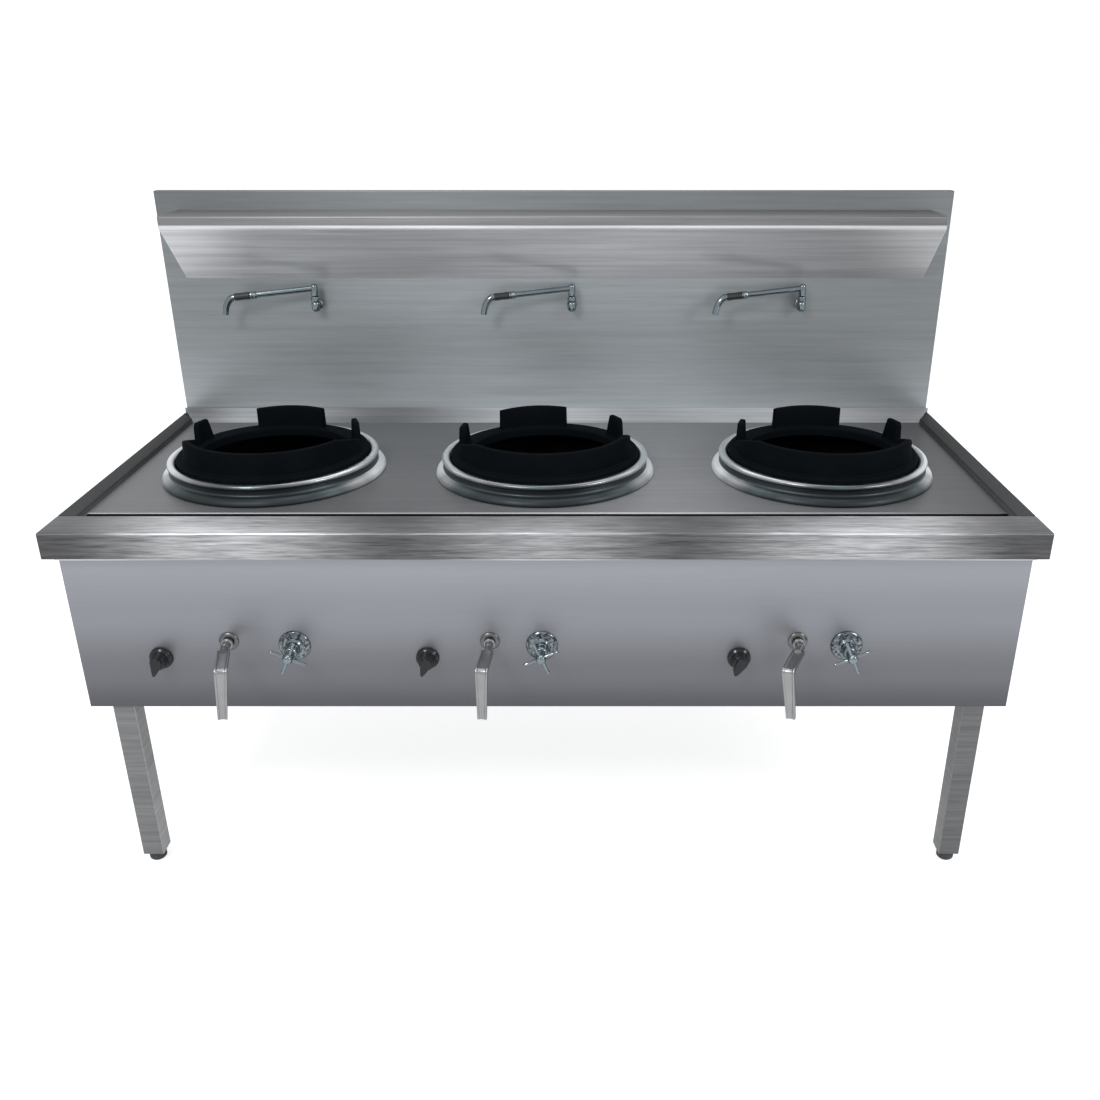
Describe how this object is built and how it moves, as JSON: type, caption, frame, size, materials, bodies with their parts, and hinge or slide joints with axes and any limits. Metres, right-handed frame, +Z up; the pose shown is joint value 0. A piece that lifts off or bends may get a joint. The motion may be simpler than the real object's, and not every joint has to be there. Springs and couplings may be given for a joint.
{
  "type": "wok range",
  "caption": "Free-standing gas wok range: flat sheet worktop with a front gutter, round wells with lift-off cast rings, splashback with shelf and swinging spouts, apron controls and square legs",
  "frame": {"origin": "on the floor, under the centre of the object's bounding box, with the levers counted in its depth", "axes": "+X to the right as the cook sees it, +Y back towards the splashback, +Z up"},
  "size_m": [1.8, 0.8966, 1.258],
  "materials": {
    "rail_steel": "folded stainless sheet with a straight brushed grain",
    "brushed_sheet": "stainless sheet with a fine brushed grain",
    "satin_sheet": "stainless sheet, satin grain with a cool tint",
    "galvanised_sheet": "plain galvanised sheet, dull",
    "firebox_steel": "heat-darkened sheet steel",
    "chrome": "polished chrome plate",
    "cast_iron": "black cast iron, fine sand texture",
    "brass": "machined brass",
    "pipe_steel": "plain drawn pipe",
    "knob_plastic": "glossy black moulding",
    "grip_plastic": "matt black sleeve",
    "foot_plastic": "dark screw foot"
  },
  "bodies": {
    "range_body": {"front_rail": "rail_steel", "left_rail": "rail_steel", "right_rail": "rail_steel", "deck_plate": "brushed_sheet", "rear_upstand": "rail_steel", "splashback": "brushed_sheet", "splash_shelf": "rail_steel", "front_panel": "satin_sheet", "left_side_panel": "satin_sheet", "right_side_panel": "satin_sheet", "base_and_back_panel": "galvanised_sheet", "gas_pipework": "pipe_steel", "water_pipework": "pipe_steel", "leg_front_left": "brushed_sheet", "leg_front_right": "brushed_sheet", "leg_rear_left": "brushed_sheet", "leg_rear_right": "brushed_sheet", "collar_left": "chrome", "firebox_left": "firebox_steel", "burner_left": "cast_iron", "gas_valve_left": "brass", "lever_valve_left": "chrome", "water_valve_left": "chrome", "spout_base_left": "chrome", "collar_centre": "chrome", "firebox_centre": "firebox_steel", "burner_centre": "cast_iron", "gas_valve_centre": "brass", "lever_valve_centre": "chrome", "water_valve_centre": "chrome", "spout_base_centre": "chrome", "collar_right": "chrome", "firebox_right": "firebox_steel", "burner_right": "cast_iron", "gas_valve_right": "brass", "lever_valve_right": "chrome", "water_valve_right": "chrome", "spout_base_right": "chrome"},
    "wok_ring_left": {"wok_ring_left": "cast_iron"},
    "gas_knob_left": {"gas_knob_left": "knob_plastic"},
    "knee_lever_left": {"knee_lever_left": "chrome"},
    "cross_handle_left": {"cross_handle_left": "chrome"},
    "spout_left": {"spout_arm_left": "chrome", "spout_grip_left": "grip_plastic"},
    "wok_ring_centre": {"wok_ring_centre": "cast_iron"},
    "gas_knob_centre": {"gas_knob_centre": "knob_plastic"},
    "knee_lever_centre": {"knee_lever_centre": "chrome"},
    "cross_handle_centre": {"cross_handle_centre": "chrome"},
    "spout_centre": {"spout_arm_centre": "chrome", "spout_grip_centre": "grip_plastic"},
    "wok_ring_right": {"wok_ring_right": "cast_iron"},
    "gas_knob_right": {"gas_knob_right": "knob_plastic"},
    "knee_lever_right": {"knee_lever_right": "chrome"},
    "cross_handle_right": {"cross_handle_right": "chrome"},
    "spout_right": {"spout_arm_right": "chrome", "spout_grip_right": "grip_plastic"},
    "foot_front_left": {"foot_front_left": "foot_plastic"},
    "foot_front_right": {"foot_front_right": "foot_plastic"},
    "foot_rear_left": {"foot_rear_left": "foot_plastic"},
    "foot_rear_right": {"foot_rear_right": "foot_plastic"}
  },
  "joints": [
    {"name": "wok_ring_lift_left", "type": "slide", "parent": "range_body", "child": "wok_ring_left", "axis": [0, 0, 1], "range_m": [0, 0.06]},
    {"name": "gas_knob_turn_left", "type": "hinge", "parent": "range_body", "child": "gas_knob_left", "pos_m": [-0.725, -0.33171, 0.49], "axis": [0, 1, 0], "range_deg": [-90, 0]},
    {"name": "knee_lever_swing_left", "type": "hinge", "parent": "range_body", "child": "knee_lever_left", "pos_m": [-0.5935, -0.33171, 0.525], "axis": [0, 1, 0], "range_deg": [-45, 45]},
    {"name": "cross_handle_turn_left", "type": "hinge", "parent": "range_body", "child": "cross_handle_left", "pos_m": [-0.472, -0.37171, 0.516], "axis": [0, 1, 0], "range_deg": [-360, 0]},
    {"name": "spout_swing_left", "type": "hinge", "parent": "range_body", "child": "spout_left", "pos_m": [-0.551, 0.3983, 1.04], "axis": [0, 0, 1], "range_deg": [-5, 169]},
    {"name": "wok_ring_lift_centre", "type": "slide", "parent": "range_body", "child": "wok_ring_centre", "axis": [0, 0, 1], "range_m": [0, 0.06]},
    {"name": "gas_knob_turn_centre", "type": "hinge", "parent": "range_body", "child": "gas_knob_centre", "pos_m": [-0.225, -0.33171, 0.49], "axis": [0, 1, 0], "range_deg": [-90, 0]},
    {"name": "knee_lever_swing_centre", "type": "hinge", "parent": "range_body", "child": "knee_lever_centre", "pos_m": [-0.107, -0.33171, 0.525], "axis": [0, 1, 0], "range_deg": [-45, 45]},
    {"name": "cross_handle_turn_centre", "type": "hinge", "parent": "range_body", "child": "cross_handle_centre", "pos_m": [-0.01, -0.37171, 0.516], "axis": [0, 1, 0], "range_deg": [-360, 0]},
    {"name": "spout_swing_centre", "type": "hinge", "parent": "range_body", "child": "spout_centre", "pos_m": [0.039, 0.3983, 1.04], "axis": [0, 0, 1], "range_deg": [-5, 169]},
    {"name": "wok_ring_lift_right", "type": "slide", "parent": "range_body", "child": "wok_ring_right", "axis": [0, 0, 1], "range_m": [0, 0.06]},
    {"name": "gas_knob_turn_right", "type": "hinge", "parent": "range_body", "child": "gas_knob_right", "pos_m": [0.3595, -0.33171, 0.49], "axis": [0, 1, 0], "range_deg": [-90, 0]},
    {"name": "knee_lever_swing_right", "type": "hinge", "parent": "range_body", "child": "knee_lever_right", "pos_m": [0.467, -0.33171, 0.525], "axis": [0, 1, 0], "range_deg": [-45, 45]},
    {"name": "cross_handle_turn_right", "type": "hinge", "parent": "range_body", "child": "cross_handle_right", "pos_m": [0.559, -0.37171, 0.516], "axis": [0, 1, 0], "range_deg": [-360, 0]},
    {"name": "spout_swing_right", "type": "hinge", "parent": "range_body", "child": "spout_right", "pos_m": [0.568, 0.3983, 1.04], "axis": [0, 0, 1], "range_deg": [-5, 169]},
    {"name": "foot_screw_front_left", "type": "hinge", "parent": "range_body", "child": "foot_front_left", "pos_m": [-0.821, -0.30071, 0.011], "axis": [0, 0, 1], "continuous": true},
    {"name": "foot_screw_front_right", "type": "hinge", "parent": "range_body", "child": "foot_front_right", "pos_m": [0.821, -0.30071, 0.011], "axis": [0, 0, 1], "continuous": true},
    {"name": "foot_screw_rear_left", "type": "hinge", "parent": "range_body", "child": "foot_rear_left", "pos_m": [-0.821, 0.39399, 0.011], "axis": [0, 0, 1], "continuous": true},
    {"name": "foot_screw_rear_right", "type": "hinge", "parent": "range_body", "child": "foot_rear_right", "pos_m": [0.821, 0.39399, 0.011], "axis": [0, 0, 1], "continuous": true}
  ]
}
